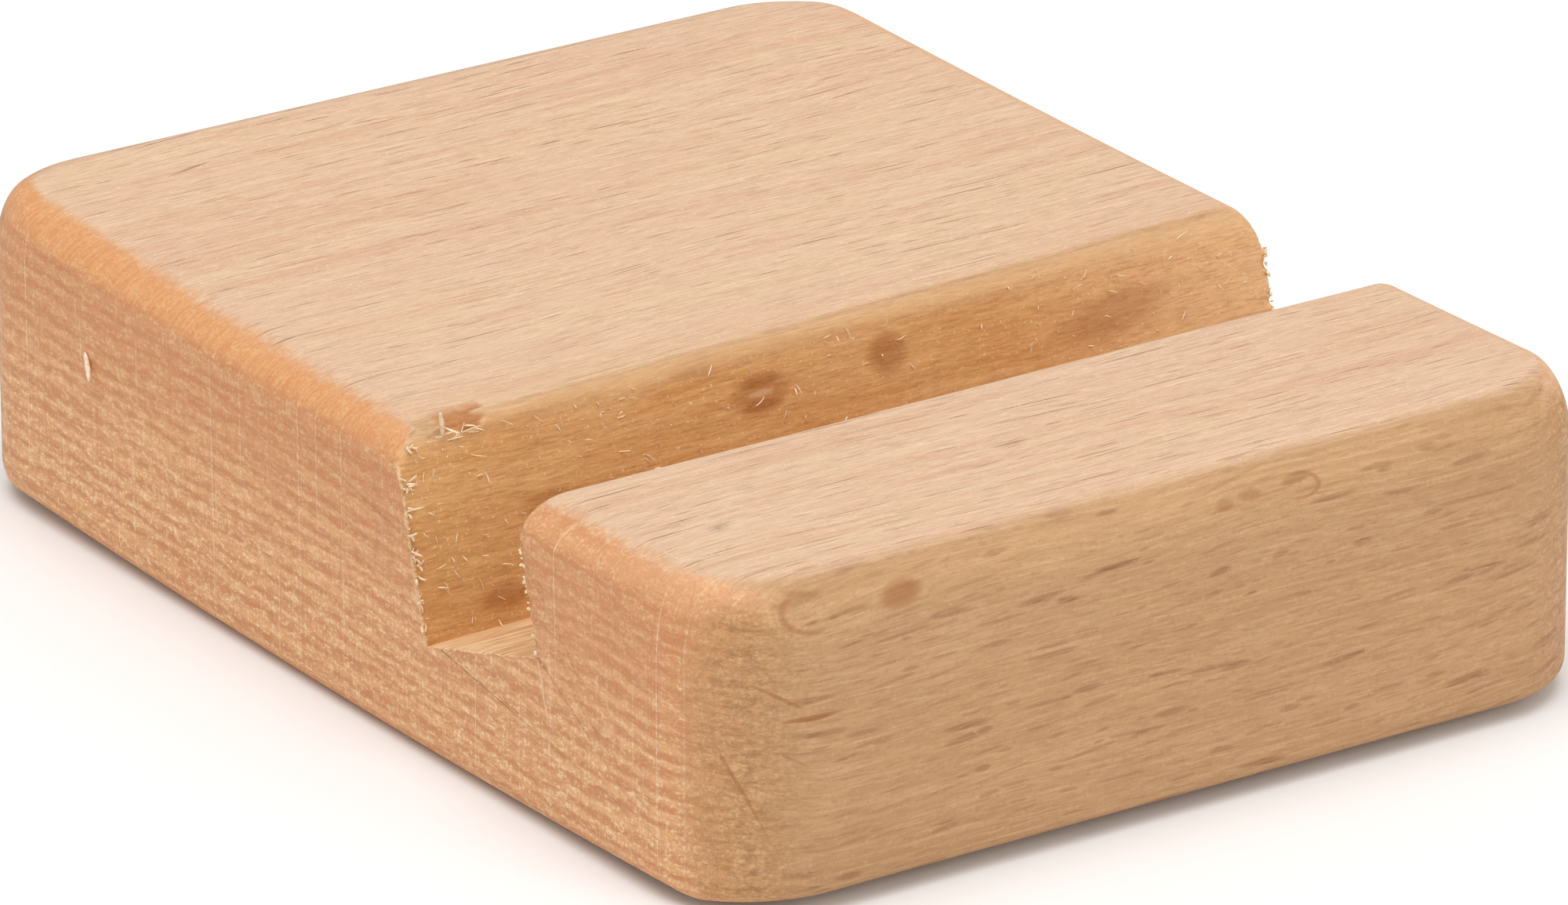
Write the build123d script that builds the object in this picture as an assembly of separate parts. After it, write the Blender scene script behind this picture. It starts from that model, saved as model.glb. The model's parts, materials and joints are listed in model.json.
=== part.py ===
from build123d import *
import os
from math import cos, radians, sin, tan

# Phone stand: one solid beech block, lying flat, with a slot across its top.
# The slot leans back, so that a phone set in it on its edge leans back too.
# Frame: +Z up, origin at the centre of the base face. X runs along the slot
# and the grain, and -Y is the low lip in front of the phone. Millimetres.

# Block
block_length_x = 65.5       # along the grain and along the slot
block_depth_y = 88.0        # from the front of the lip to the back
block_height_z = 20.0       # thickness of the planed board

# Softened edges
corner_radius = 8.0         # the four upright corners
top_edge_radius = 2.4       # all round the top face
base_edge_radius = 1.8      # all round the base face

# Slot
slot_width = 12.9           # between its walls, square to them
slot_depth = 13.0           # along its back wall
slot_tilt = 15.0            # degrees that the walls lean back from upright
lip_depth = 22.2            # top of the lip, from its front face to the slot
arris_break = 0.5           # sanded arris between the back wall and the top


def rounded_block():
    """Return the board, cut to size, with its corners and edges rounded."""
    outline = RectangleRounded(block_length_x, block_depth_y, corner_radius)
    block = extrude(outline, block_height_z)
    top_edges = block.faces().sort_by(Axis.Z)[-1].edges()
    block = fillet(top_edges, top_edge_radius)
    base_edges = block.faces().sort_by(Axis.Z)[0].edges()
    return fillet(base_edges, base_edge_radius)


def slot_cutter():
    """Return the slot's own space, which passes both ends and the top."""
    tilt = radians(slot_tilt)
    top_z = block_height_z
    front_y = lip_depth - block_depth_y / 2
    back_y = front_y + slot_width / cos(tilt)
    over = slot_depth       # how far the cutter passes above the top face
    front_top = (front_y + over * tan(tilt), top_z + over)
    back_top = (back_y + over * tan(tilt), top_z + over)
    # The arris break: level with the top behind the wall, and as far down it.
    break_back = (back_y + arris_break, top_z)
    break_back_top = (break_back[0] + over * tan(tilt), back_top[1])
    break_wall = (back_y - arris_break * sin(tilt), top_z - arris_break * cos(tilt))
    floor_back = (back_y - slot_depth * sin(tilt), top_z - slot_depth * cos(tilt))
    floor_front = (
        floor_back[0] - slot_width * cos(tilt),
        floor_back[1] + slot_width * sin(tilt),
    )
    profile = make_face(Polyline(
        front_top, floor_front, floor_back, break_wall, break_back, break_back_top,
        close=True,
    ))
    across = Plane.YZ * profile
    return extrude(across, block_length_x, both=True)


stand_block = rounded_block() - slot_cutter()

os.makedirs("parts", exist_ok=True)
for name, solid in {"stand_block": stand_block}.items():
    export_step(solid, f"parts/{name}.step")
    print(name, round(solid.volume), "mm3")
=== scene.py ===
import json
from types import SimpleNamespace

import bpy
import numpy as np
from mathutils import Euler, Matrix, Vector


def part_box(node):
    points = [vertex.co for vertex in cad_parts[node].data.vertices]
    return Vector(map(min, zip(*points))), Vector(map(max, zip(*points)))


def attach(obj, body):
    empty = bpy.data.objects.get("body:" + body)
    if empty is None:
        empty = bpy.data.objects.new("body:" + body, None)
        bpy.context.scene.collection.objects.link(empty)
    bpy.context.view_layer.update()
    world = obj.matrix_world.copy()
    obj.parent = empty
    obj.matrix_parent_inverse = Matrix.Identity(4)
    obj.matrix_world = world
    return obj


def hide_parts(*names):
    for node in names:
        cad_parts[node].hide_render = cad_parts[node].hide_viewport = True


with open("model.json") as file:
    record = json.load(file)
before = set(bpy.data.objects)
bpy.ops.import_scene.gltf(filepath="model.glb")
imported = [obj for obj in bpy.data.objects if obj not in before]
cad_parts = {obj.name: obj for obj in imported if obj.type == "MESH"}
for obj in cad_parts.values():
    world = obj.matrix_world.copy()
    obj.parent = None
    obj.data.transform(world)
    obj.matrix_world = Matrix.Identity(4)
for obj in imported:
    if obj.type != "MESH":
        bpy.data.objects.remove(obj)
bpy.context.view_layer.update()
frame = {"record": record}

MM = 0.001

# ---------------------------------------------------------------- camera ----
# A long lens well back from the desk, above and to the left of the stand, so
# that its end grain, its lip and its top all show with little perspective.
block_low, block_high = (np.array(corner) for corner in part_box("stand_block"))
block_centre = (block_low + block_high) / 2
camera_azimuth, camera_elevation, camera_roll = np.radians((-33.871, 21.937, -0.146))
camera_distance = 762.5 * MM
camera_aim = block_centre + np.array((0.567, -0.934, -1.141)) * MM

camera_data = bpy.data.cameras.new("camera")
camera_data.sensor_width = 36
camera_data.lens = 282.13
camera_data.clip_end = 20
camera = bpy.data.objects.new("camera", camera_data)
bpy.context.scene.collection.objects.link(camera)
camera.location = block_centre + camera_distance * np.array((
    np.sin(camera_azimuth) * np.cos(camera_elevation),
    -np.cos(camera_azimuth) * np.cos(camera_elevation),
    np.sin(camera_elevation),
))
look = Vector(camera_aim) - camera.location
level = look.to_track_quat("-Z", "Y").to_matrix()
camera.rotation_euler = (level @ Euler((0, 0, camera_roll)).to_matrix()).to_euler()
bpy.context.scene.camera = camera

# ------------------------------------------------------------ beech block ---
# One planed board of solid beech, its edges rolled over on a sander, sawn
# across its top for a slot that opens a little to the right. It has cupped
# since, more at its left end: its front and back edges stand above its middle.
half_x, half_y = block_high[0], block_high[1]
height = block_high[2]
corner_radius = 8.0 * MM        # upright corners, seen from above
left_roll = (3.8 * MM, 2.1 * MM)    # top edge of the left end: along X, down
right_roll = (2.6 * MM, 2.8 * MM)
end_base_roll = (1.6 * MM, 2.0 * MM)
long_roll = 3.9 * MM            # top edge of the front and the back
long_base_roll = 1.4 * MM
roll_growth = 0.4               # how fast the long rolls widen towards the ends
wall_arris = (1.1 * MM, 1.6 * MM)   # sanded edge of the slot, left and right
slot_splay = 2.1 * MM           # how much wider the slot is at its right end
lip_arris = 0.35 * MM
cup_rise = 0.93 * MM            # how far the front and back edges stand up
right_cup = (0.30, 0.88)        # the right end's middle and edges, as shares of that

# The slot's place, width and lean come from the two faces that the record gives.
record_mounts = {mount["name"]: mount for mount in frame["record"]["mounts"]}
floor_mid = np.array(record_mounts["slot_floor"]["pos_m"][1:])
floor_normal = np.array(record_mounts["slot_floor"]["axis"][1:])
wall_mid = np.array(record_mounts["slot_back_wall"]["pos_m"][1:])
wall_normal = np.array(record_mounts["slot_back_wall"]["axis"][1:])
slot_width = 2 * np.dot(floor_mid - wall_mid, wall_normal)
floor_back = floor_mid - wall_normal * slot_width / 2
floor_front = floor_mid + wall_normal * slot_width / 2
lean_sin, lean_cos = floor_normal
# The Y at which the back wall, carried on up, would meet the top.
arris_line = floor_back[0] + (height - floor_back[1]) * lean_sin / lean_cos

# The torn patch on the arris near the slot's left end, and its half size.
tear_place = np.array((-28.7, -8.0, 19.75))
tear_size = np.array((2.3, 0.8, 0.5))


def straight(start, stop, count):
    """Points start + t (stop - start), for t from 0 up to but not at 1."""
    t = np.linspace(0, 1, count, endpoint=False)[None, :, None]
    return start[:, None] * (1 - t) + stop[:, None] * t


def arc(centre, radius, first, last, count):
    """Points centre + radius (cos a, sin a), a in degrees, not at its last."""
    a = np.radians(np.linspace(first, last, count, endpoint=False))[None, :]
    ring = np.stack((np.cos(a), np.sin(a)), -1)
    return centre[:, None] + radius[:, None, None] * ring


def pair(y, z):
    """One point (y, z) for each station."""
    return np.stack(np.broadcast_arrays(y, z), -1)


def smooth_noise(rng, waves, *coordinates):
    """Sum of random sine waves over the coordinates, about -1 to 1."""
    total = 0
    for _ in range(waves):
        turn = rng.normal(size=len(coordinates))
        phase = sum(t * c for t, c in zip(turn, coordinates))
        total = total + np.sin(phase + rng.uniform(0, 2 * np.pi))
    return total / np.sqrt(waves)


def end_drop(reach, fall, x):
    """Quarter of an ellipse: fall (1 - sqrt(1 - s^2)), s the share of reach."""
    s = np.clip(1 - (half_x - np.abs(x)) / reach, 0, 1)
    return fall * (1 - np.sqrt(1 - s**2))


def from_left(x):
    """0 at the left end of the block, rising evenly to 1 at the right end."""
    return (x / half_x + 1) / 2


def cup(x, y):
    """How far the board stands up: middle + (edge - middle) (y / half_y)^2,
    and both change evenly from the left end to the right.
    """
    middle = right_cup[0] * from_left(x)
    edge = 1 + (right_cup[1] - 1) * from_left(x)
    return cup_rise * (middle + (edge - middle) * (y / half_y) ** 2)


def block_surface():
    """The block as sections across X: each is a round-cornered outline in Y
    and Z with the slot let into its top, and it draws in towards the ends by
    the elliptical roll of each edge. The first and last sections are capped.
    """
    roll = np.linspace(0, np.pi / 2, 48)
    end_zone = half_x - corner_radius * (1 - np.sin(roll))
    middle = np.linspace(-end_zone[0], end_zone[0], 62)[1:-1]
    x = np.concatenate((-end_zone[::-1], middle, end_zone))

    drop = np.where(x < 0, end_drop(*left_roll, x), end_drop(*right_roll, x))
    side = half_y - end_drop(corner_radius, corner_radius, x)
    top = height - drop
    base = end_drop(*end_base_roll, x)
    round_top = long_roll + roll_growth * drop
    round_base = long_base_roll + roll_growth * base
    # Where each slot wall meets the top line of the section.
    wall_foot = floor_back[0] + slot_splay * from_left(x)
    wall_top = wall_foot + (top - floor_back[1]) * lean_sin / lean_cos
    lip_top = floor_front[0] + (top - floor_front[1]) * lean_sin / lean_cos
    arris = wall_arris[0] + (wall_arris[1] - wall_arris[0]) * from_left(x)
    wall_centre = wall_top + arris * (1 - lean_sin) / lean_cos
    lip_centre = lip_top - lip_arris * (1 + lean_sin) / lean_cos
    wall_arc_end = pair(wall_centre, top - arris) + arris[:, None] * wall_normal
    lip_arc_end = pair(lip_centre, top - lip_arris) - lip_arris * wall_normal
    lean = np.degrees(np.arctan2(lean_sin, lean_cos))
    one = np.ones_like(x)
    front_foot = pair(*floor_front) * one[:, None]
    back_foot = pair(wall_foot, floor_back[1] * one)

    pieces = {
        "top": straight(pair(wall_centre, top), pair(side - round_top, top), 40),
        "back top": arc(pair(side - round_top, top - round_top), round_top, 90, 0, 12),
        "back": straight(pair(side, top - round_top), pair(side, base + round_base), 9),
        "back base": arc(pair(side - round_base, base + round_base), round_base, 0, -90, 8),
        "base": straight(pair(side - round_base, base), pair(round_base - side, base), 30),
        "front base": arc(
            pair(round_base - side, base + round_base), round_base, -90, -180, 8),
        "front": straight(pair(-side, base + round_base), pair(-side, top - round_top), 9),
        "front top": arc(pair(round_top - side, top - round_top), round_top, 180, 90, 12),
        "lip top": straight(pair(round_top - side, top), pair(lip_centre, top), 20),
        "lip arris": arc(pair(lip_centre, top - lip_arris), lip_arris * one, 90, -lean, 6),
        "lip wall": straight(lip_arc_end, front_foot, 90),
        "floor": straight(front_foot, back_foot, 60),
        "wall": straight(back_foot, wall_arc_end, 120),
        "wall arris": arc(
            pair(wall_centre, top - arris), arris, 180 - lean, 90, 14),
    }
    names = [name for name, points in pieces.items() for _ in range(points.shape[1])]
    section = np.concatenate(list(pieces.values()), 1)
    xyz = np.concatenate((np.broadcast_to(x[:, None, None], section.shape[:2] + (1,)),
                          section), -1)
    return xyz, np.array(names)


def torn(xyz):
    """1 inside the torn patch and 0 outside, with a ragged edge: the sixth
    powers of the distances from its middle, in half sizes, add up to 1 there.
    """
    x, y, z = np.moveaxis(xyz / MM, -1, 0)
    rng = np.random.default_rng(5)
    ragged = 1 + 0.28 * smooth_noise(rng, 16, x * 3.0, y * 5, z * 5)
    away = np.abs(np.moveaxis(xyz / MM - tear_place, -1, 0)) / tear_size[:, None, None]
    reach = (away**6).sum(0) ** (1 / 6) * ragged
    return np.clip((1.12 - reach) / 0.24, 0, 1)


def weather(xyz, names):
    """Cup the board, wave the sawn faces by a few hundredths of a millimetre,
    nibble the ends of the slot's faces and tear out one patch.
    """
    rng = np.random.default_rng(11)
    x, y, z = np.moveaxis(xyz / MM, -1, 0)
    on_wall = np.isin(names, ("wall", "wall arris"))[None, :] * 1.0
    on_lip = np.isin(names, ("lip wall", "lip arris"))[None, :] * 1.0
    on_floor = (names == "floor")[None, :] * 1.0
    ripple = smooth_noise(rng, 24, x * 0.25, z * 2.2, y * 2.2) * 0.03
    moved = xyz.copy()
    moved[..., 1] += ripple * MM * (on_wall + on_lip)

    # Nibbles: short waves along each edge, which fade within about a
    # millimetre of the end face.
    end_gap = half_x / MM - np.abs(x)
    side_of = np.sign(x) * 40
    bite = smooth_noise(rng, 40, z * 8, side_of, y * 5)
    bite += 0.6 * smooth_noise(rng, 40, z * 19, side_of, y * 12)
    bite = np.clip(bite, -0.6, 1.4) * np.exp(-((end_gap / 0.4) ** 2))
    below_top = np.clip((height / MM - 1.5 - z) / 2.0, 0, 1)
    moved[..., 1] += 0.10 * MM * bite * (on_wall - on_lip) * below_top
    moved[..., 2] -= 0.08 * MM * bite * on_floor
    moved[..., 0] -= np.sign(x) * 0.10 * MM * np.abs(bite) * (on_wall + on_lip + on_floor)

    depth = 0.2 * torn(xyz) * (1 + 0.3 * smooth_noise(rng, 16, x * 3, y * 6, z * 6))
    moved[..., 1] += depth * MM * 0.8
    moved[..., 2] -= depth * MM * 0.6
    moved[..., 2] += cup(moved[..., 0], moved[..., 1])
    return moved


def skin_mesh(name, xyz, faces):
    """A mesh of one array of points and a list of faces."""
    mesh = bpy.data.meshes.new(name)
    mesh.from_pydata(xyz.reshape(-1, 3).tolist(), [], faces)
    mesh.shade_smooth()
    return mesh


block_xyz, block_names = block_surface()
rows, columns = block_xyz.shape[:2]
index = np.arange(rows * columns).reshape(rows, columns)
ahead = np.roll(index, -1, 1)
block_quads = np.stack((index[:-1], index[1:], ahead[1:], ahead[:-1]), -1).reshape(-1, 4)
block_mesh = skin_mesh(
    "beech_block", weather(block_xyz, block_names),
    block_quads.tolist() + [index[0].tolist(), index[-1, ::-1].tolist()])
block_mesh.set_sharp_from_angle(angle=np.radians(38))


def paint(mesh, name, kind, values):
    """Store values, one for each corner of each face, as an attribute."""
    field = "vector" if kind == "FLOAT_VECTOR" else "value"
    mesh.attributes.new(name, kind, "CORNER").data.foreach_set(field, values.ravel())


# "facing" holds the way each corner of the skin faces. "sawn" is 1 on the
# slot's faces, falls to 0 over the sanded arris, and is 0 elsewhere. "torn"
# is 1 in the torn patch. The two end caps have neither.
facing = np.empty(len(block_mesh.loops) * 3)
block_mesh.corner_normals.foreach_get("vector", facing)
paint(block_mesh, "facing", "FLOAT_VECTOR", facing)
slot_sides = ("lip arris", "lip wall", "floor", "wall", "wall arris")
sawn_along = np.isin(block_names, ("lip wall", "floor", "wall")) * 1.0
for arris, first, last in (("wall arris", 1, 0), ("lip arris", 0, 1)):
    here = block_names == arris
    sawn_along[here] = np.linspace(first, last, here.sum(), endpoint=False)
column = block_quads % columns
in_slot = np.isin(block_names[column[:, 0]], slot_sides)[:, None]
sawn = np.zeros(len(block_mesh.loops))
sawn[:block_quads.size] = (sawn_along[column] * in_slot).ravel()
paint(block_mesh, "sawn", "FLOAT", sawn)
torn_patch = np.zeros(len(block_mesh.loops))
torn_patch[:block_quads.size] = torn(block_xyz).ravel()[block_quads].ravel()
paint(block_mesh, "torn", "FLOAT", torn_patch)

block = bpy.data.objects.new("beech_block", block_mesh)
bpy.context.scene.collection.objects.link(block)
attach(block, "root")
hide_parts("stand_block")


def tint(red, green, blue):
    """A screen colour, 0 to 255 a channel, as the linear one a shader takes."""
    c = np.array((red, green, blue)) / 255
    return (*np.where(c <= 0.04045, c / 12.92, ((c + 0.055) / 1.055) ** 2.4), 1.0)


def put(tree, kind, inputs=None, **settings):
    """Add a node, set its properties, and set or link the inputs given."""
    node = tree.nodes.new(kind)
    for name, value in settings.items():
        setattr(node, name, value)
    for key, value in (inputs or {}).items():
        if isinstance(value, bpy.types.NodeSocket):
            tree.links.new(value, node.inputs[key])
        else:
            node.inputs[key].default_value = value
    return node


def calc(tree, operation, *values, clamp=False):
    """One step of arithmetic on plain numbers or sockets."""
    return put(tree, "ShaderNodeMath", dict(enumerate(values)),
               operation=operation, use_clamp=clamp).outputs[0]


def fade(tree, value, low, high, start=0.0, stop=1.0):
    """Start below low, stop above high, and a smooth step between."""
    return put(tree, "ShaderNodeMapRange", {0: value, 1: low, 2: high, 3: start, 4: stop},
               interpolation_type="SMOOTHSTEP").outputs[0]


def noise(tree, place, stretch, detail=2.0, rough=0.5, shift=0.0):
    """Cloud noise at so many bumps a millimetre along X, Y and Z."""
    scaled = put(tree, "ShaderNodeVectorMath",
                 {0: place, 1: stretch, 2: (shift, shift * 0.7, shift * 1.3)},
                 operation="MULTIPLY_ADD").outputs[0]
    return put(tree, "ShaderNodeTexNoise",
               {"Vector": scaled, "Scale": 1.0, "Detail": detail, "Roughness": rough},
               ).outputs[0]


def blend(tree, share, under, over):
    """Lay one colour over another by a share from 0 to 1."""
    return put(tree, "ShaderNodeMix", {0: share, 6: under, 7: over},
               data_type="RGBA").outputs[2]


def node_group(name, takes, gives):
    """A shader node group with number inputs; returns it and its two ends."""
    tree = bpy.data.node_groups.new(name, "ShaderNodeTree")
    for socket, value in takes.items():
        made = tree.interface.new_socket(socket, in_out="INPUT", socket_type="NodeSocketFloat")
        made.default_value = value
    for socket in gives:
        tree.interface.new_socket(socket, in_out="OUTPUT", socket_type="NodeSocketFloat")
    return tree, put(tree, "NodeGroupInput").outputs, put(tree, "NodeGroupOutput").inputs


def ray_fleck_group():
    """Spindle-shaped ray marks, one to a cell of an uneven net, where
    (along / length)^2 + (across / thickness)^2 < 1 about the cell's own point.
    Each cell draws its own length, thickness, tilt and strength.
    """
    tree, given, gives = node_group(
        "ray flecks",
        {"Along": 0, "Across": 0, "Cell Length": 4, "Cell Width": 1, "Length": 1.5,
         "Thickness": 0.1, "Tilt": 0, "Share": 0.7, "Seed": 0},
        ["Mask"])
    u = calc(tree, "ADD", calc(tree, "DIVIDE", given["Along"], given["Cell Length"]),
             given["Seed"])
    v = calc(tree, "ADD", calc(tree, "DIVIDE", given["Across"], given["Cell Width"]),
             given["Seed"])
    net = put(tree, "ShaderNodeCombineXYZ", {0: u, 1: v}).outputs[0]
    cell = put(tree, "ShaderNodeTexVoronoi", {"Vector": net, "Scale": 1.0},
               voronoi_dimensions="2D")
    away = put(tree, "ShaderNodeVectorMath", {0: net, 1: cell.outputs["Position"]},
               operation="SUBTRACT").outputs[0]
    away = put(tree, "ShaderNodeSeparateXYZ", {0: away}).outputs
    draw = put(tree, "ShaderNodeSeparateColor", {0: cell.outputs["Color"]}).outputs
    along = calc(tree, "MULTIPLY", away[0], given["Cell Length"])
    across = calc(tree, "MULTIPLY", away[1], given["Cell Width"])
    lean = calc(tree, "MULTIPLY", given["Tilt"], calc(tree, "SUBTRACT", draw[1], 0.25))
    across = calc(tree, "SUBTRACT", across, calc(tree, "MULTIPLY", along, lean))
    length = calc(tree, "MULTIPLY", given["Length"],
                  calc(tree, "MULTIPLY_ADD", draw[0], 0.9, 0.35))
    thick = calc(tree, "MULTIPLY", given["Thickness"],
                 calc(tree, "MULTIPLY_ADD", draw[2], 0.8, 0.5))
    reach = calc(tree, "ADD",
                 calc(tree, "POWER", calc(tree, "DIVIDE", along, length), 2.0),
                 calc(tree, "POWER", calc(tree, "DIVIDE", across, thick), 2.0))
    body = fade(tree, reach, 0.15, 1.0, 1.0, 0.0)
    # A second, unrelated draw: the fraction of a large multiple of the first.
    other = calc(tree, "FRACT", calc(tree, "MULTIPLY", draw[1], 57.31))
    there = calc(tree, "LESS_THAN", other, given["Share"])
    strength = calc(tree, "MULTIPLY_ADD", draw[2], 0.55, 0.45)
    mask = calc(tree, "MULTIPLY", calc(tree, "MULTIPLY", body, there), strength)
    tree.links.new(mask, gives["Mask"])
    return tree


ray_flecks = ray_fleck_group()


def flecks(tree, along, across, cell, size, share, tilt=0.0, seed=0.0):
    """Ray marks in cells of (length, width), of half (length, thickness)."""
    placed = put(tree, "ShaderNodeGroup", node_tree=ray_flecks)
    values = {"Along": along, "Across": across, "Cell Length": cell[0],
              "Cell Width": cell[1], "Length": size[0], "Thickness": size[1],
              "Tilt": tilt, "Share": share, "Seed": seed}
    for name, value in values.items():
        if isinstance(value, bpy.types.NodeSocket):
            tree.links.new(value, placed.inputs[name])
        else:
            placed.inputs[name].default_value = value
    return placed.outputs["Mask"]


def spot(tree, across, up, at, size, slope=0.0, soft=0.8):
    """A stain: 1 inside the ellipse of half size (width, height), 0 outside."""
    dx = calc(tree, "SUBTRACT", across, at[0])
    dz = calc(tree, "SUBTRACT", up, at[1])
    dz = calc(tree, "SUBTRACT", dz, calc(tree, "MULTIPLY", dx, slope))
    reach = calc(tree, "ADD",
                 calc(tree, "POWER", calc(tree, "DIVIDE", dx, size[0]), 2.0),
                 calc(tree, "POWER", calc(tree, "DIVIDE", dz, size[1]), 2.0))
    return fade(tree, reach, 1.0 - soft, 1.0 + soft, 1.0, 0.0)


def hook(tree, across, up, at, size, opening):
    """A hooked ray: the rim of an ellipse of half size (width, height), open
    on the side of +X where opening is 1 and of -X where it is -1.
    """
    dx = calc(tree, "SUBTRACT", across, at[0])
    reach = calc(tree, "ADD",
                 calc(tree, "POWER", calc(tree, "DIVIDE", dx, size[0]), 2.0),
                 calc(tree, "POWER", calc(tree, "DIVIDE", calc(
                     tree, "SUBTRACT", up, at[1]), size[1]), 2.0))
    rim = fade(tree, calc(tree, "ABSOLUTE", calc(tree, "SUBTRACT", reach, 1.0)),
               0.08, 0.42, 1.0, 0.0)
    closed = fade(tree, calc(tree, "MULTIPLY", dx, opening), -0.2 * size[0], size[0], 1.0, 0.0)
    return calc(tree, "MULTIPLY", rim, closed)


def total(tree, *masks):
    """The masks added up, no more than 1."""
    answer = masks[0]
    for mask in masks[1:]:
        answer = calc(tree, "ADD", answer, mask, clamp=True)
    return answer


def share_of(tree, mask, amount):
    """The mask made weaker."""
    return calc(tree, "MULTIPLY", mask, amount)


def stained(tree, across, up, *stains):
    """Several stains together, each (place, half size, strength, slope)."""
    return total(tree, *(share_of(tree, spot(tree, across, up, at, size, slope), strength)
                         for at, size, strength, slope in stains))


def wood_figure(tree):
    """Where a point of the board lies, in millimetres, which way its face looks,
    and the patterns that several faces share. The grain runs along X.
    """
    place = put(tree, "ShaderNodeVectorMath", {
        0: put(tree, "ShaderNodeTexCoord").outputs["Object"], 3: 1 / MM},
        operation="SCALE").outputs[0]
    x, y, z = put(tree, "ShaderNodeSeparateXYZ", {0: place}).outputs
    facing = put(tree, "ShaderNodeAttribute", attribute_name="facing").outputs["Vector"]
    facing = put(tree, "ShaderNodeVectorMath", {0: facing}, operation="ABSOLUTE").outputs[0]
    along_x, along_y, along_z = put(tree, "ShaderNodeSeparateXYZ", {0: facing}).outputs
    in_slot = put(tree, "ShaderNodeAttribute", attribute_name="sawn").outputs["Fac"]
    torn_out = put(tree, "ShaderNodeAttribute", attribute_name="torn").outputs["Fac"]

    # The grain wanders: everything that runs along it is bent by this much.
    sway = calc(tree, "SUBTRACT", noise(tree, place, (0.035, 0.09, 0.09), 1.0), 0.5)
    bent = put(tree, "ShaderNodeCombineXYZ", {
        0: 0.0, 1: calc(tree, "MULTIPLY", sway, 3.0), 2: calc(tree, "MULTIPLY", sway, 2.0),
    }).outputs[0]
    grain = put(tree, "ShaderNodeVectorMath", {0: place, 1: bent}, operation="ADD").outputs[0]
    grain_x, grain_y, grain_z = put(tree, "ShaderNodeSeparateXYZ", {0: grain}).outputs

    fibre = noise(tree, grain, (0.8, 7.0, 7.0), 3.0, 0.75)
    silk = noise(tree, grain, (0.11, 2.4, 2.4), 3.0, 0.6, 4.0)
    grit = noise(tree, place, (4.2, 4.2, 4.2), 3.0, 0.7, 9.0)
    cloud = fade(tree, noise(tree, grain, (0.03, 0.16, 0.16), 3.0, 0.6, 2.0), 0.35, 0.65)
    line = noise(tree, grain, (0.12, 5.5, 5.5), 3.0, 0.7, 5.5)
    lint = fade(tree, grit, 0.58, 0.70)

    # Fine streaks, coarse mottling, and how far a rolled edge is an upright
    # one, 1, or a level one, 0.
    comb = noise(tree, place, (0.35, 3.4, 0.35), 3.0, 0.65, 8.0)
    mottle = noise(tree, place, (1.1, 1.1, 3.0), 4.0, 0.8, 12.0)
    upright_share = calc(tree, "DIVIDE", along_y, calc(tree, "ADD", calc(
        tree, "ADD", along_y, along_z), 0.001))
    return SimpleNamespace(
        place=place, x=x, y=y, z=z, along_x=along_x, along_y=along_y, along_z=along_z,
        upright_share=upright_share, in_slot=in_slot, torn_out=torn_out, grain=grain,
        grain_x=grain_x, grain_y=grain_y, grain_z=grain_z, fibre=fibre, silk=silk,
        grit=grit, cloud=cloud, line=line, lint=lint, comb=comb, mottle=mottle)


def top_dashes(tree, wood):
    """Thin dashes on the flat-sawn faces: the rays, cut across."""
    grain_x, grain_y = wood.grain_x, wood.grain_y
    return total(
        tree,
        share_of(tree, flecks(tree, grain_x, grain_y, (5.2, 0.8), (1.9, 0.042), 0.75, 0.02), 0.8),
        share_of(tree, flecks(tree, grain_x, grain_y, (2.6, 0.5), (0.8, 0.036), 0.7, 0.02, 5.3),
                 0.4),
        share_of(tree, flecks(tree, grain_x, grain_y, (9.5, 1.7), (3.6, 0.055), 0.6, 0.02, 8.7),
                 0.8))


def top_grain(tree, wood, dashes):
    """Flat-sawn top and base: pinkish beige, finely lined, with thin dashes."""
    top = blend(tree, wood.cloud, tint(219, 180, 150), tint(221, 186, 151))
    top = blend(tree, fade(tree, wood.silk, 0.35, 0.7, 0.0, 0.6), top, tint(226, 194, 161))
    blush = fade(tree, noise(tree, wood.grain, (0.02, 0.7, 0.7), 2.0, 0.5, 5.0), 0.48, 0.68)
    top = blend(tree, share_of(tree, blush, 0.5), top, tint(213, 167, 134))
    top = blend(tree, fade(tree, wood.line, 0.32, 0.48, 0.55, 0.0), top, tint(202, 153, 118))
    top = blend(tree, fade(tree, wood.line, 0.52, 0.68, 0.0, 0.6), top, tint(233, 205, 172))
    top = blend(tree, dashes, top, tint(128, 74, 46))
    from_arris = calc(tree, "ABSOLUTE", calc(tree, "SUBTRACT", wood.y, arris_line / MM))
    top = blend(tree, fade(tree, from_arris, 0.5, 6.0, 0.4, 0.0), top, tint(217, 174, 131))
    top = blend(tree, share_of(tree, wood.lint, 0.55), top, tint(241, 220, 193))
    top = blend(tree, fade(tree, wood.grit, 0.26, 0.42, 0.3, 0.0), top, tint(198, 152, 118))
    return top


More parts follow.
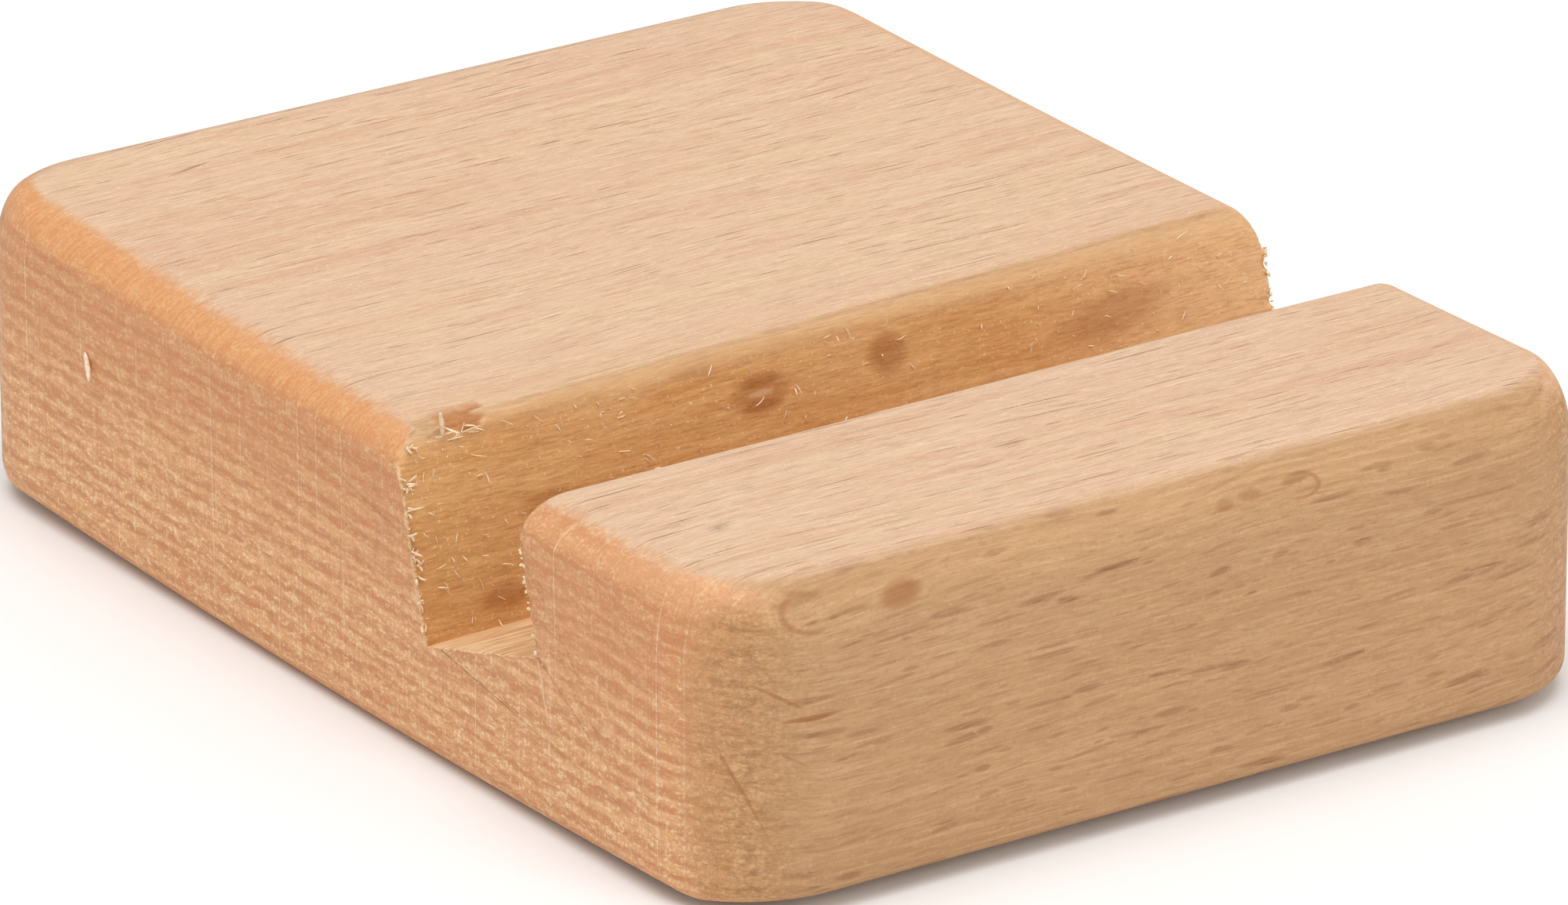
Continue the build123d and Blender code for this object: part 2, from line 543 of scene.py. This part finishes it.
def front_grain(tree, wood):
    """Front and back: tan, with soft spindle-shaped rays that climb a little."""
    grain_x, grain_z = wood.grain_x, wood.grain_z
    front = blend(tree, wood.cloud, tint(188, 145, 101), tint(195, 152, 109))
    # Painted shade: the front and back are coloured darker towards their foot, below about 9 mm,
    # standing in for the light falling off there.
    front = blend(tree, fade(tree, wood.z, 1.0, 9.0, 0.5, 0.0), front, tint(177, 135, 93))
    front = blend(tree, fade(tree, wood.silk, 0.35, 0.75, 0.0, 0.7), front, tint(203, 161, 116))
    rays = total(
        tree,
        share_of(tree, flecks(tree, grain_x, grain_z, (5.4, 1.5), (2.0, 0.22), 0.8, 0.16, 1.7),
                 0.65),
        share_of(tree, flecks(tree, grain_x, grain_z, (3.4, 0.9), (1.1, 0.11), 0.7, 0.16, 3.9),
                 0.5),
        share_of(tree, flecks(tree, grain_x, grain_z, (2.3, 0.55), (0.9, 0.1), 0.8, 0.16, 8.9),
                 0.3),
        share_of(tree, flecks(tree, grain_x, grain_z, (8.0, 2.3), (3.2, 0.14), 0.6, 0.16, 6.3),
                 0.6))
    uneven = calc(tree, "MULTIPLY_ADD", fade(tree, wood.fibre, 0.3, 0.65), 0.5, 0.55)
    rays = calc(tree, "MULTIPLY", rays, uneven)
    front = blend(tree, rays, front, tint(142, 92, 56))
    front = blend(tree, fade(tree, wood.line, 0.32, 0.50, 0.35, 0.0), front, tint(170, 126, 84))
    front = blend(tree, fade(tree, wood.line, 0.52, 0.68, 0.0, 0.35), front, tint(216, 178, 136))
    front = blend(tree, share_of(tree, wood.lint, 0.3), front, tint(220, 184, 142))
    front = blend(tree, fade(tree, wood.grit, 0.28, 0.45, 0.5, 0.0), front, tint(166, 122, 82))
    return front


def end_grain(tree, wood):
    """Ends: orange-brown, level growth rings a little over a millimetre apart,
    flecked with pale crumbs and crossed by thin upright rays. The rings and
    the crumbs are given back too.
    """
    weave = noise(tree, wood.place, (5.0, 5.0, 0.16), 2.0, 0.6, 6.0)
    drift = noise(tree, wood.place, (0.03, 0.04, 0.4), 3.0, 0.55, 3.0)
    level = calc(tree, "MULTIPLY_ADD", drift, 13.0, calc(tree, "MULTIPLY", wood.z, 5.0))
    crumb = noise(tree, wood.place, (0.8, 0.8, 3.0), 4.0, 0.8, 14.0)
    ring = calc(tree, "MULTIPLY_ADD", calc(tree, "SINE", level), fade(
        tree, wood.cloud, 0.0, 1.0, 0.1, 0.24), calc(tree, "MULTIPLY", crumb, 1.6))
    ring = fade(tree, ring, 0.46, 1.12)
    low_part = fade(tree, wood.z, 4.0, 15.0, 1.0, 0.4)
    end = blend(tree, ring, tint(206, 141, 95), tint(232, 177, 125))
    end = blend(tree, fade(tree, wood.z, 9.0, 17.0, 0.0, 0.5), end, tint(206, 137, 88))
    end = blend(tree, fade(tree, weave, 0.3, 0.48, 0.14, 0.0), end, tint(180, 112, 72))
    speck = calc(tree, "MULTIPLY_ADD", weave, 0.2, calc(tree, "MULTIPLY_ADD", crumb, 0.7, wood.grit))
    speck = fade(tree, speck, 0.97, 1.12)
    speck = calc(tree, "MULTIPLY", speck, calc(tree, "MULTIPLY_ADD", ring, 0.6, 0.4))
    end = blend(tree, calc(tree, "MULTIPLY", speck, low_part), end, tint(246, 214, 168))
    end = blend(tree, fade(tree, wood.grit, 0.22, 0.42, 0.5, 0.0), end, tint(176, 112, 74))
    uprights = total(
        tree,
        share_of(tree, flecks(tree, wood.z, wood.y, (34.0, 2.3), (22.0, 0.055), 0.8, 0.01, 2.2), 0.75),
        share_of(tree, flecks(tree, wood.z, wood.y, (8.0, 1.0), (3.2, 0.045), 0.7, 0.02, 7.1), 0.4))
    uprights = calc(tree, "MULTIPLY", uprights, fade(tree, crumb, 0.38, 0.6, 0.25, 1.0))
    end = blend(tree, uprights, end, tint(244, 218, 186))
    return end, ring, speck


def rolled_end_grain(tree, wood, end, ring, speck):
    """The ends with their rolled edges, where the cut fibres drink more light:
    orange streaks towards the top, greyish tan round the upright corners.
    """
    rolled = blend(tree, fade(tree, wood.comb, 0.3, 0.7), tint(212, 140, 84), tint(226, 166, 110))
    rolled = blend(tree, fade(tree, wood.y, -24.0, -2.0, 0.75, 0.0), rolled, end)
    rolled = blend(tree, fade(tree, wood.y, -38.0, -26.0, 0.5, 0.1), rolled, tint(226, 177, 134))
    # Painted highlight: the rolled top edge of the right end is coloured paler, standing in for the
    # light from above that catches it.
    rolled = blend(tree, fade(tree, wood.x, 0.0, 20.0, 0.0, 0.75), rolled, tint(226, 184, 146))
    corner = blend(tree, fade(tree, wood.mottle, 0.34, 0.66), tint(138, 95, 54), tint(202, 156, 106))
    corner = blend(tree, share_of(tree, ring, 0.4), corner, tint(200, 152, 106))
    corner = blend(tree, fade(tree, wood.along_x, 0.55, 0.93, 0.0, 0.5), corner, tint(212, 154, 104))
    edge = blend(tree, fade(tree, wood.upright_share, 0.35, 0.65), rolled, corner)
    edge = blend(tree, share_of(tree, speck, 0.35), edge, tint(234, 194, 146))
    edge = blend(tree, fade(tree, wood.grit, 0.25, 0.45, 0.35, 0.0), edge, tint(178, 112, 66))
    corner_from = calc(tree, "MULTIPLY_ADD", wood.upright_share, 0.1, 0.75)
    corner_to = calc(tree, "MULTIPLY_ADD", wood.upright_share, 0.015, 0.97)
    end = blend(tree, fade(tree, wood.along_x, corner_from, corner_to, 0.9, 0.0), end, edge)
    brink = fade(tree, calc(tree, "ABSOLUTE", calc(tree, "SUBTRACT", wood.along_x, 0.94)),
                 0.0, 0.012, 0.6, 0.0)
    brink = calc(tree, "MULTIPLY", brink, fade(tree, wood.upright_share, 0.6, 0.9))
    end = blend(tree, calc(tree, "MULTIPLY", brink, speck), end, tint(240, 214, 176))
    return end


def end_reach(tree, wood):
    """How far round its edges the end grain shows; ragged, but only there."""
    ragged = calc(tree, "MULTIPLY_ADD", calc(tree, "SUBTRACT", wood.comb, 0.5), 0.35, calc(
        tree, "MULTIPLY", calc(tree, "SUBTRACT", wood.mottle, 0.5), 0.6))
    ragged = calc(tree, "ADD", ragged, fade(tree, wood.y, 10.0, 40.0, 0.0, 0.16))
    reach = calc(tree, "MULTIPLY_ADD", ragged, fade(tree, wood.along_x, 0.0, calc(
        tree, "MULTIPLY_ADD", wood.upright_share, 0.6, 0.25)), wood.along_x)
    return fade(tree, reach, 0.12, calc(
        tree, "MULTIPLY_ADD", wood.upright_share, 0.35, 0.4))


def sawn_slot(tree, wood):
    """Slot: left as sawn, golden to caramel, finely streaked lengthwise."""
    honey = fade(tree, noise(tree, wood.place, (0.07, 0.2, 0.2), 3.0, 0.6, 1.0), 0.38, 0.62)
    slot = blend(tree, honey, tint(212, 160, 102), tint(209, 150, 87))
    slot = blend(tree, fade(tree, wood.x, 8.0, 30.0, 0.0, 0.6), slot, tint(232, 188, 142))
    slot = blend(tree, share_of(tree, fade(tree, wood.silk, 0.35, 0.7), 0.5), slot, tint(232, 184, 126))
    slot = blend(tree, fade(tree, wood.mottle, 0.3, 0.45, 0.3, 0.0), slot, tint(186, 120, 66))
    thread = noise(tree, wood.place, (0.7, 8.0, 8.0), 3.0, 0.7, 3.0)
    slot = blend(tree, fade(tree, thread, 0.30, 0.52, 0.45, 0.0), slot, tint(170, 108, 56))
    slot = blend(tree, fade(tree, thread, 0.52, 0.72, 0.0, 0.35), slot, tint(236, 194, 136))
    slot = blend(tree, share_of(tree, wood.lint, 0.7), slot, tint(242, 210, 162))
    stains = stained(
        tree, wood.x, wood.z,
        ((-6.3, 16.8), (2.1, 1.1), 0.6, 0.06), ((-6.3, 17.6), (1.7, 0.35), 0.4, 0),
        ((-6.2, 16.1), (1.5, 0.3), 0.5, 0), ((3.4, 17.2), (1.4, 1.2), 0.7, 0),
        ((20.4, 16.0), (4.2, 1.2), 0.5, 0.12), ((-11.0, 19.3), (1.6, 0.5), 0.6, 0),
        ((-26.5, 9.2), (1.6, 0.8), 0.6, 0), ((-22.5, 13.9), (2.0, 0.7), 0.5, 0))
    on_back_wall = calc(tree, "GREATER_THAN", wood.y, floor_mid[0] / MM)
    stains = calc(tree, "MULTIPLY", stains, calc(tree, "MULTIPLY_ADD", wood.mottle, 1.4, 0.1))
    stains = calc(tree, "MULTIPLY", stains, on_back_wall)
    slot = blend(tree, stains, slot, tint(160, 94, 36))
    pale = share_of(tree, spot(tree, wood.x, wood.z, (-6.2, 16.85), (0.9, 0.22)), 0.4)
    slot = blend(tree, calc(tree, "MULTIPLY", pale, on_back_wall), slot, tint(238, 204, 166))
    floor_share = fade(tree, wood.along_z, 0.6, 0.9)
    planed = blend(tree, fade(tree, wood.line, 0.38, 0.58), tint(204, 150, 102), tint(248, 214, 168))
    slot = blend(tree, share_of(tree, floor_share, 0.85), slot, planed)
    by_arris = fade(tree, wood.z, 18.2, 19.8, 0.0, 0.65)
    slot = blend(tree, by_arris, slot, tint(224, 182, 134))
    # The last splinters of the saw's exit stand along both ends, pale.
    to_end = calc(tree, "SUBTRACT", half_x / MM, calc(tree, "ABSOLUTE", wood.x))
    rim = fade(tree, calc(tree, "MULTIPLY_ADD", wood.grit, -0.5, to_end), -0.14, 0.0, 0.8, 0.0)
    slot = blend(tree, rim, slot, tint(242, 206, 160))
    return slot


def slot_lining(tree, wood):
    """Pale splinters that line the end faces where they meet the slot's walls."""
    up_wall = calc(tree, "MULTIPLY_ADD", calc(tree, "SUBTRACT", wood.z, floor_back[1] / MM),
                   -lean_sin / lean_cos, wood.y)
    behind = calc(tree, "SUBTRACT", up_wall, floor_back[0] / MM)
    before = calc(tree, "SUBTRACT", -slot_width / lean_cos / MM, behind)
    splay = calc(tree, "MULTIPLY", calc(tree, "GREATER_THAN", wood.x, 0.0), slot_splay / MM)
    behind = calc(tree, "SUBTRACT", behind, splay)
    near = calc(tree, "MINIMUM", calc(tree, "ABSOLUTE", behind), calc(
        tree, "MULTIPLY", calc(tree, "ABSOLUTE", before), 1.6))
    lined = fade(tree, calc(tree, "MULTIPLY_ADD", wood.grit, -0.4, near), -0.12, 0.0, 1.0, 0.0)
    lined = calc(tree, "MULTIPLY", lined, fade(tree, wood.z, 7.2, 7.8))
    lined = calc(tree, "MULTIPLY", lined, fade(tree, wood.along_x, 0.6, 0.9))
    return share_of(tree, lined, 0.75)


def marked(tree, wood, skin):
    """The torn patch, stains and rays on the front, a grey smudge on the lip and
    two dark rays on the top, laid over the skin.
    """
    tear = blend(tree, fade(tree, wood.x, -29.4, -28.8), tint(204, 166, 120), tint(192, 130, 78))
    tear = blend(tree, fade(tree, wood.fibre, 0.3, 0.6, 0.3, 0.0), tear, tint(130, 84, 50))
    skin = blend(tree, wood.torn_out, skin, tear)
    on_front = calc(tree, "LESS_THAN", wood.y, -half_y / MM + 3.0)
    marks = total(
        tree,
        stained(
            tree, wood.x, wood.z,
            ((-19.9, 18.9), (1.4, 0.65), 0.7, 0.1), ((3.4, 19.0), (0.6, 0.3), 0.45, 0),
            ((5.3, 19.2), (0.8, 0.3), 0.45, 0), ((-26.3, 12.7), (1.7, 0.17), 0.75, 0.04),
            ((-28.3, 14.2), (1.3, 0.15), 0.55, -0.6), ((-27.5, 10.2), (0.8, 0.12), 0.45, -0.6),
            ((-30.2, 8.6), (1.4, 0.25), 0.5, -2.4)),
        share_of(tree, hook(tree, wood.x, wood.z, (-26.2, 19.0), (1.6, 1.0), 1.0), 0.5),
        share_of(tree, hook(tree, wood.x, wood.z, (8.9, 19.0), (1.4, 0.65), -1.0), 0.5))
    marks = calc(tree, "MULTIPLY", marks, calc(tree, "MULTIPLY_ADD", wood.fibre, 1.2, 0.3))
    skin = blend(tree, calc(tree, "MULTIPLY", marks, on_front), skin, tint(150, 90, 40))
    on_top = calc(tree, "GREATER_THAN", wood.z, height / MM - 5.0)
    smudge = total(
        tree, share_of(tree, spot(tree, wood.x, wood.y, (-25.1, -32.4), (0.5, 0.35), 0.2, 0.99), 0.6),
        share_of(tree, spot(tree, wood.x, wood.y, (-25.1, -32.4), (1.0, 0.6), 0.2, 0.99), 0.3))
    smudge = calc(tree, "MULTIPLY", smudge, fade(tree, wood.mottle, 0.3, 0.6, 0.2, 0.6))
    skin = blend(tree, calc(tree, "MULTIPLY", smudge, on_top), skin, tint(110, 98, 76))
    dark_rays = stained(tree, wood.x, wood.y, ((-3.5, -31.2), (1.3, 0.16), 0.5, 0),
                        ((-20.0, 35.7), (1.6, 0.1), 0.6, 0.22))
    return blend(tree, calc(tree, "MULTIPLY", dark_rays, on_top), skin, tint(140, 82, 58))


def beech_material():
    """Bare beech. Every pattern is solid, in millimetres through the board:
    the grain runs along X and the growth rings lie nearly level, so the top
    is flat-sawn, the front shows larger rays and the ends show the rings.
    """
    material = bpy.data.materials.new("beech")
    material.use_nodes = True
    tree = material.node_tree
    tree.nodes.clear()
    wood = wood_figure(tree)

    dashes = top_dashes(tree, wood)
    top = top_grain(tree, wood, dashes)
    front = front_grain(tree, wood)
    end = rolled_end_grain(tree, wood, *end_grain(tree, wood))
    end_share = end_reach(tree, wood)
    skin = blend(tree, fade(tree, wood.along_y, 0.08, 0.5), top, front)
    skin = blend(tree, end_share, skin, end)
    skin = blend(tree, fade(tree, wood.in_slot, 0.1, 0.9), skin, sawn_slot(tree, wood))
    skin = blend(tree, slot_lining(tree, wood), skin, tint(236, 200, 156))
    skin = marked(tree, wood, skin)
    skin = blend(tree, fade(tree, wood.fibre, 0.3, 0.65, 0.22, 0.0), skin, tint(130, 80, 46))

    relief = calc(tree, "MULTIPLY_ADD", dashes, -0.6, wood.fibre)
    relief = calc(tree, "MULTIPLY_ADD", wood.grit, calc(tree, "MULTIPLY", end_share, 1.2), relief)
    bump = put(tree, "ShaderNodeBump", {"Strength": 0.3, "Distance": 0.05 * MM,
                                        "Height": relief}).outputs[0]
    shader = put(tree, "ShaderNodeBsdfPrincipled", {
        "Base Color": skin, "Normal": bump, "Roughness": fade(tree, wood.silk, 0, 1, 0.52, 0.66),
        "Specular IOR Level": 0.35}).outputs[0]
    put(tree, "ShaderNodeOutputMaterial", {"Surface": shader})
    return material


block_mesh.materials.append(beech_material())

# ------------------------------------------------------------ torn fibres ---
# Where the saw left the slot, and here and there on its walls, wood fibres
# stay on as pale curled hairs, crumbs and splinters, rooted in the block.
fibre_rings, fibre_sides = 9, 6


def strand_mesh(name, root, heading, aside, length, width, curl):
    """Closed tapered strands, one for each row of root: a point t of the way
    along is root + length (t heading + curl t^2 aside), and the strand's
    radius there is width (sin of pi (0.04 + 0.93 t)) ^ 0.4.
    """
    t = np.linspace(0, 1, fibre_rings)[None, :, None]
    length, width, curl = (np.asarray(v)[:, None, None] for v in (length, width, curl))
    root, heading, aside = root[:, None], heading[:, None], aside[:, None]
    spine = root + length * (t * heading + curl * t**2 * aside)
    ahead = heading + 2 * curl * t * aside
    ahead = ahead / np.linalg.norm(ahead, axis=-1, keepdims=True)
    across = np.cross(heading, aside)
    over = np.cross(ahead, across)
    radius = (width * np.sin(np.pi * (0.04 + 0.93 * t)) ** 0.4)[..., None, :]
    turn = np.linspace(0, 2 * np.pi, fibre_sides, endpoint=False)[None, None, :, None]
    xyz = spine[:, :, None] + radius * (
        np.cos(turn) * across[:, :, None] + 0.6 * np.sin(turn) * over[:, :, None])

    ring = np.arange(len(root) * fibre_rings * fibre_sides)
    ring = ring.reshape(len(root), fibre_rings, fibre_sides)
    step = np.roll(ring, -1, 2)
    quads = np.stack((ring[:, :-1], step[:, :-1], step[:, 1:], ring[:, 1:]), -1).reshape(-1, 4)
    faces = quads.tolist() + ring[:, 0, ::-1].tolist() + ring[:, -1].tolist()
    return skin_mesh(name, xyz * MM, faces)


def unit(vectors):
    """The vectors at length 1."""
    return vectors / np.linalg.norm(vectors, axis=-1, keepdims=True)


def wall_point(x, z):
    """The point of the slot's back wall at x and z, in millimetres."""
    foot = floor_back[0] + slot_splay * from_left(x * MM)
    y = foot / MM + (z - floor_back[1] / MM) * lean_sin / lean_cos
    return np.stack(np.broadcast_arrays(x, y, z + cup(x * MM, y * MM) / MM), -1)


def pale_fibre_material():
    """Torn beech fibre: cream, a little uneven along its length."""
    material = bpy.data.materials.new("torn fibre")
    material.use_nodes = True
    tree = material.node_tree
    tree.nodes.clear()
    place = put(tree, "ShaderNodeVectorMath", {
        0: put(tree, "ShaderNodeTexCoord").outputs["Object"], 3: 1 / MM},
        operation="SCALE").outputs[0]
    patch = noise(tree, place, (3.0, 3.0, 3.0), 2.0, 0.6)
    shade = blend(tree, fade(tree, patch, 0.3, 0.7), tint(229, 198, 154), tint(248, 231, 204))
    bump = put(tree, "ShaderNodeBump", {"Strength": 0.3, "Distance": 0.03 * MM,
                                        "Height": patch}).outputs[0]
    shader = put(tree, "ShaderNodeBsdfPrincipled", {
        "Base Color": shade, "Normal": bump, "Roughness": 0.7,
        "Specular IOR Level": 0.3}).outputs[0]
    put(tree, "ShaderNodeOutputMaterial", {"Surface": shader})
    return material


pale_fibre = pale_fibre_material()


def fibre_piece(mesh):
    """Put a mesh of fibres on the block."""
    mesh.materials.append(pale_fibre)
    piece = bpy.data.objects.new(mesh.name, mesh)
    bpy.context.scene.collection.objects.link(piece)
    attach(piece, "root")


def random_strands(rng, name, root, lean, spread, length, width, curl):
    """Strands that leave their roots along lean, each turned by up to about
    spread, with a length, width and curl drawn between the two ends given.
    """
    count = len(root)
    heading = unit(np.asarray(lean) + spread * rng.normal(size=(count, 3)))
    aside = unit(np.cross(heading, rng.normal(size=(count, 3))))
    fibre_piece(strand_mesh(
        name, root, heading, aside, rng.uniform(*length, count),
        rng.uniform(*width, count), rng.uniform(-curl, curl, count)))


rng = np.random.default_rng(21)
left_x, right_x = -half_x / MM, half_x / MM

# Tufts at the slot's left end, up the back wall: (x from the end, z, spread
# along the edge, how many).
tufts = ((0.95, 19.0, 0.12, 5), (0.55, 16.9, 0.45, 11), (0.25, 15.6, 0.3, 5),
         (0.1, 12.9, 0.25, 6), (0.35, 12.3, 0.12, 4), (0.1, 10.2, 0.3, 7),
         (0.1, 14.3, 0.3, 3), (0.15, 11.4, 0.3, 3), (0.1, 8.8, 0.3, 3))
tuft_root = np.concatenate([
    wall_point(left_x + inset + rng.uniform(-0.15, 0.2, count),
               z + spread * rng.uniform(-1, 1, count))
    for inset, z, spread, count in tufts])
random_strands(rng, "left_arris_tufts", tuft_root, (0.2, -0.6, 0.25), 0.5,
               (0.18, 0.65), (0.05, 0.11), 1.3)

# Short teeth where the saw broke out of the right end, and along the lip.
teeth = 34
teeth_z = rng.uniform(9.0, 17.2, teeth)
teeth_root = wall_point(np.full(teeth, right_x - 0.1), teeth_z)
random_strands(rng, "right_arris_teeth", teeth_root, (0.6, -0.5, 0.0), 0.3,
               (0.12, 0.34), (0.07, 0.15), 0.5)
lip_z = np.concatenate((rng.normal(17.0, 0.35, 7), rng.normal(15.5, 0.35, 6),
                        rng.uniform(11.2, 17, 5)))
lip_shift = np.array((0, slot_width / lean_cos / MM, 0))
lip_root = wall_point(np.full(len(lip_z), left_x + 0.08), lip_z) - lip_shift
random_strands(rng, "lip_arris_tufts", lip_root, (-0.3, 0.6, 0.1), 0.4,
               (0.12, 0.34), (0.08, 0.17), 0.6)

# Hairs scattered over the back wall, thicker near its left end and its top.
hairs = 340
hair_x = left_x + 1.2 + (2 * right_x - 2.4) * rng.uniform(0, 1, hairs) ** 1.5
hair_root = wall_point(hair_x, 19.2 - 11.5 * rng.uniform(0, 1, hairs) ** 1.3)
random_strands(rng, "slot_wall_hairs", hair_root, (0.0, -0.25, 0.1), 0.7,
               (0.15, 0.75), (0.025, 0.055), 1.2)

# A few longer slivers: one on the left end, and three in the torn patch with
# thin streaks beside them.
fibre_piece(strand_mesh(
    "left_end_splinter", np.array(((left_x - 0.05, 27.45, 13.35 + 0.36),)),
    unit(np.array(((-0.12, -0.62, -0.72),))), np.array(((-0.98, 0.1, 0.08),)),
    (1.9,), (0.26,), (0.12,)))
splinter_foot = np.array(((-29.35, -8.75, 19.35), (-29.25, -8.72, 19.9), (-29.3, -8.6, 20.5)))
fibre_piece(strand_mesh(
    "torn_patch_splinter", splinter_foot,
    unit(np.array(((-0.12, -0.1, 0.98), (0.75, -0.35, -0.5), (-0.6, -0.2, 0.5)))),
    unit(np.array(((-0.7, -0.6, -0.1), (0.2, -0.9, 0.3), (0.3, -0.5, 0.4)))),
    (1.75, 0.9, 0.5), (0.17, 0.08, 0.12), (0.12, 0.3, 0.2)))
streaks = 6
streak_x = rng.uniform(-30.2, -26.8, streaks)
streak_root = wall_point(streak_x, rng.uniform(18.9, 19.5, streaks))
random_strands(rng, "torn_patch_streaks", streak_root, (0.95, -0.2, 0.05), 0.12,
               (0.6, 1.5), (0.04, 0.08), 0.1)

# ------------------------------------------------------------- surroundings ---
# Not part of the object: a plain pale floor and plain soft studio light, one
# large lamp overhead, a weaker one from the front, and an even pale sky.
floor_size = 4.0
floor_mesh = bpy.data.meshes.new("floor")
edge = floor_size / 2
floor_mesh.from_pydata(
    [(-edge, -edge, 0), (edge, -edge, 0), (edge, edge, 0), (-edge, edge, 0)], [], [(0, 1, 2, 3)])
floor_material = bpy.data.materials.new("floor")
floor_material.use_nodes = True
floor_shader = floor_material.node_tree.nodes["Principled BSDF"]
floor_shader.inputs["Base Color"].default_value = (0.9, 0.9, 0.9, 1)
floor_shader.inputs["Roughness"].default_value = 0.8
floor_mesh.materials.append(floor_material)
floor = bpy.data.objects.new("floor", floor_mesh)
bpy.context.scene.collection.objects.link(floor)


def soft_lamp(name, place, size, power):
    """A square lamp that shines at the stand."""
    data = bpy.data.lights.new(name, "AREA")
    data.size = size
    data.energy = power
    lamp = bpy.data.objects.new(name, data)
    bpy.context.scene.collection.objects.link(lamp)
    lamp.location = place
    lamp.rotation_euler = (-Vector(place)).to_track_quat("-Z", "Y").to_euler()


soft_lamp("overhead lamp", (-0.25, -0.2, 1.2), 1.0, 9.5)
soft_lamp("front lamp", (0.3, -1.2, 0.6), 0.8, 3.0)

world = bpy.data.worlds.new("studio")
world.use_nodes = True
world.node_tree.nodes["Background"].inputs["Color"].default_value = (1, 1, 1, 1)
world.node_tree.nodes["Background"].inputs["Strength"].default_value = 0.65
bpy.context.scene.world = world
bpy.context.scene.view_settings.view_transform = "Standard"
